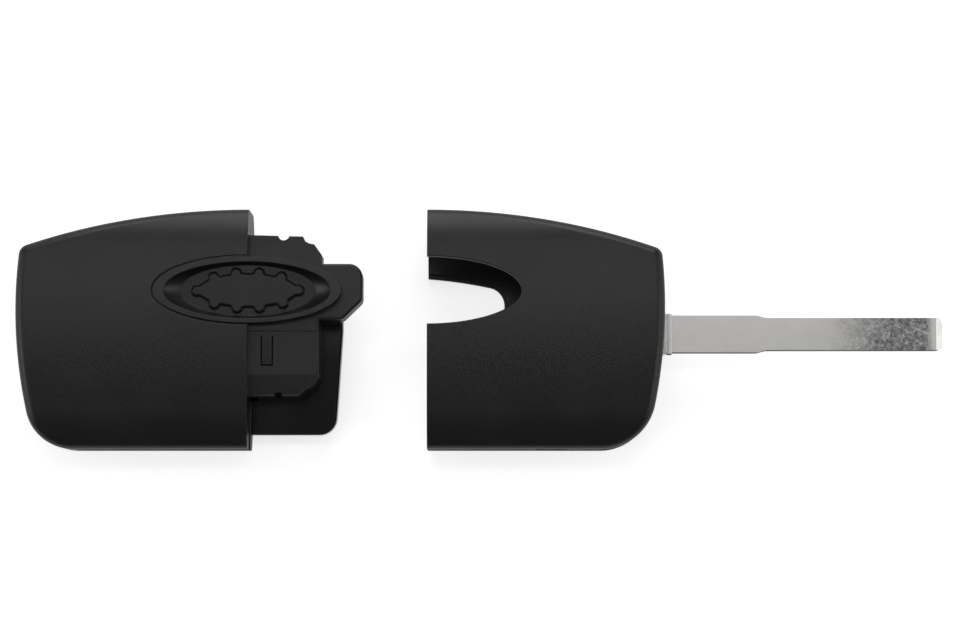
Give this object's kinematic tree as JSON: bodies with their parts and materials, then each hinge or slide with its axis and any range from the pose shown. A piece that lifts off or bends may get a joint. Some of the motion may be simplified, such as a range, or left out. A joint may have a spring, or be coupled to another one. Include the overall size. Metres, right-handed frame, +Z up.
{
  "type": "key fob shell",
  "caption": "Empty flip-key remote shell in two halves drawn apart: a remote half with an oval badge seat and a tongue, and a key head with an uncut folding blade.",
  "frame": {"origin": "centre of the part's footprint, on the surface it lies on, with the halves drawn apart and the blade unfolded", "axes": "+X along the part from the remote half to the blade tip, +Y across it away from the blade slot, +Z up out of the badge side"},
  "size_m": [0.1536, 0.0398, 0.015],
  "materials": {
    "shell": "moulded black, fine matt grain with a soft sheen",
    "key_rubber": "matt black soft-touch keys",
    "rubber": "matt dark grey silicone mat",
    "inner_plastic": "plain moulded",
    "plated_metal": "satin nickel plate",
    "blade_steel": "satin nickel-plated blank, scuffed towards the tip",
    "spring_steel": "bright drawn wire"
  },
  "bodies": {
    "key_head": {"head_back_shell": "shell", "head_front_shell": "shell", "spring_seat": "inner_plastic", "torsion_spring": "spring_steel", "chip_holder": "inner_plastic", "head_pins": "spring_steel"},
    "remote_half": {"remote_back_cover": "shell", "remote_front_cover": "shell", "button_membrane": "rubber"},
    "flip_blade": {"blade": "blade_steel", "blade_hub": "plated_metal", "roll_pin": "spring_steel"},
    "release": {"release_cap": "plated_metal", "release_plunger": "inner_plastic"},
    "lock_key": {"lock_button": "key_rubber"},
    "unlock_key": {"unlock_button": "key_rubber"},
    "boot_key": {"boot_button": "key_rubber"}
  },
  "joints": [
    {"name": "remote_slide", "type": "slide", "parent": "key_head", "child": "remote_half", "axis": [1, 0, 0], "range_m": [0, 0.02955]},
    {"name": "blade_fold", "type": "hinge", "parent": "key_head", "child": "flip_blade", "pos_m": [0.02005, -0.0083, 0.0075], "axis": [0, 0, 1], "range_deg": [-180, 0], "stiffness_Nm_per_rad": 0.004, "springref_deg": 34.38},
    {"name": "release_press", "type": "slide", "parent": "key_head", "child": "release", "axis": [0, 0, 1], "range_m": [0, 0.002], "stiffness_N_per_m": 600, "springref_m": -0.002, "deforming": ["torsion_spring"]},
    {"name": "lock_press", "type": "slide", "parent": "remote_half", "child": "lock_key", "axis": [0, 0, 1], "range_m": [0, 0.0007], "stiffness_N_per_m": 500, "springref_m": -0.001},
    {"name": "unlock_press", "type": "slide", "parent": "remote_half", "child": "unlock_key", "axis": [0, 0, 1], "range_m": [0, 0.0007], "stiffness_N_per_m": 500, "springref_m": -0.001},
    {"name": "boot_press", "type": "slide", "parent": "remote_half", "child": "boot_key", "axis": [0, 0, 1], "range_m": [0, 0.0007], "stiffness_N_per_m": 500, "springref_m": -0.001}
  ]
}
